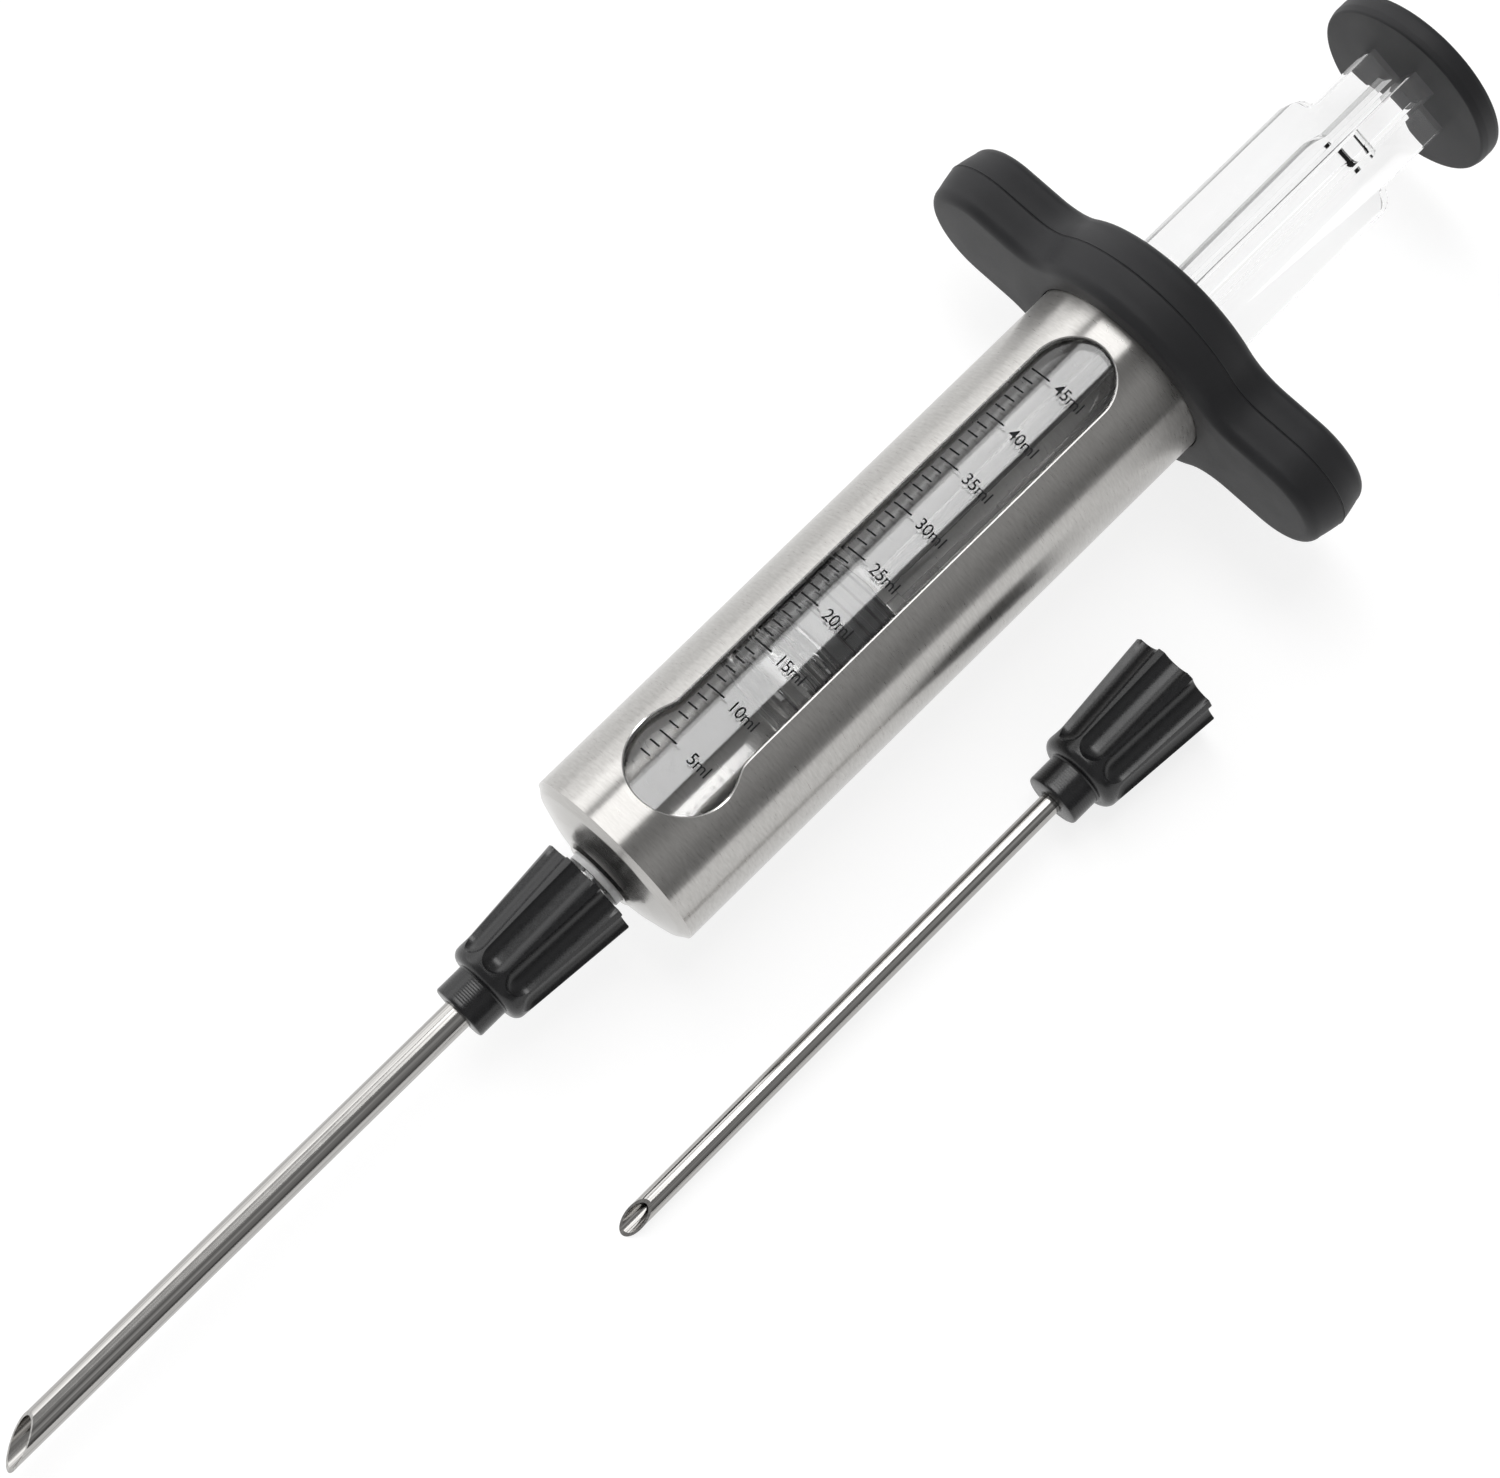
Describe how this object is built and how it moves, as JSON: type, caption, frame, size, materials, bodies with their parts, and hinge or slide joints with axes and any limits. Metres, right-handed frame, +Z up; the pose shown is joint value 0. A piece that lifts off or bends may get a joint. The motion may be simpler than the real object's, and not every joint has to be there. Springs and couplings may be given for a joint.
{
  "type": "meat injector",
  "caption": "Meat injector with a steel-sleeved clear barrel, keyhole window, winged finger grip, ribbed clear plunger, screw-on needle and spare needle.",
  "frame": {"origin": "on the table surface, in the middle of the whole set seen from above", "axes": "+Z up from the table the set lies on; +X along the injector from the needle's point to the thumb pad, seen from above; +Y to the left of that. The barrel axis itself rises towards the thumb pad by 3.153 degrees, because the set rests on the sleeve's front rim and on the round of the grip"},
  "size_m": [0.2959, 0.086, 0.0438],
  "materials": {
    "satin_steel": "satin brushed around the sleeve",
    "needle_steel": "polished along the tube",
    "clear_plastic": "clear, glossy",
    "ring_plastic": "milky, glossy",
    "soft_black": "matte soft-touch",
    "hub_black": "glossy",
    "seal_rubber": "smooth rubber",
    "washer_rubber": "smooth rubber"
  },
  "bodies": {
    "barrel": {"outer_shell": "satin_steel", "nose_cap": "satin_steel", "clear_barrel": "clear_plastic", "nozzle_ring": "ring_plastic", "barrel_gasket": "washer_rubber", "grip_front": "soft_black", "grip_rear": "soft_black"},
    "seal": {"piston_seal": "seal_rubber"},
    "plunger": {"piston_nose": "clear_plastic", "plunger_rod": "clear_plastic", "thumb_pad": "soft_black", "thumb_cap": "satin_steel"},
    "needle_washer": {"hub_washer": "washer_rubber"},
    "needle": {"needle_hub": "hub_black", "needle_tube": "needle_steel"},
    "spare": {"spare_washer": "washer_rubber", "spare_hub": "hub_black", "spare_tube": "needle_steel"}
  },
  "joints": [
    {"name": "plunger_slide", "type": "slide", "parent": "barrel", "child": "seal", "axis": [0.9985, 0, 0.055], "range_m": [-0.0303, 0.0578]},
    {"name": "plunger_turn", "type": "hinge", "parent": "seal", "child": "plunger", "pos_m": [0.02843, 0.0026, 0.01875], "axis": [0.9985, 0, 0.055], "continuous": true},
    {"name": "needle_travel", "type": "slide", "parent": "barrel", "child": "needle_washer", "axis": [-0.9985, 0, -0.055], "range_m": [0, 0.006]},
    {"name": "needle_turn", "type": "hinge", "parent": "needle_washer", "child": "needle", "pos_m": [-0.03183, 0.0026, 0.01543], "axis": [-0.9985, 0, -0.055], "range_deg": [0, 1440]},
    {"name": "spare_lift", "type": "slide", "parent": "barrel", "child": "spare", "axis": [0, 0, 1], "range_m": [0, 0.05]}
  ],
  "couplings": [
    {"joint": "needle_turn", "follows": "needle_travel", "rad_per_m": 4188.8}
  ]
}
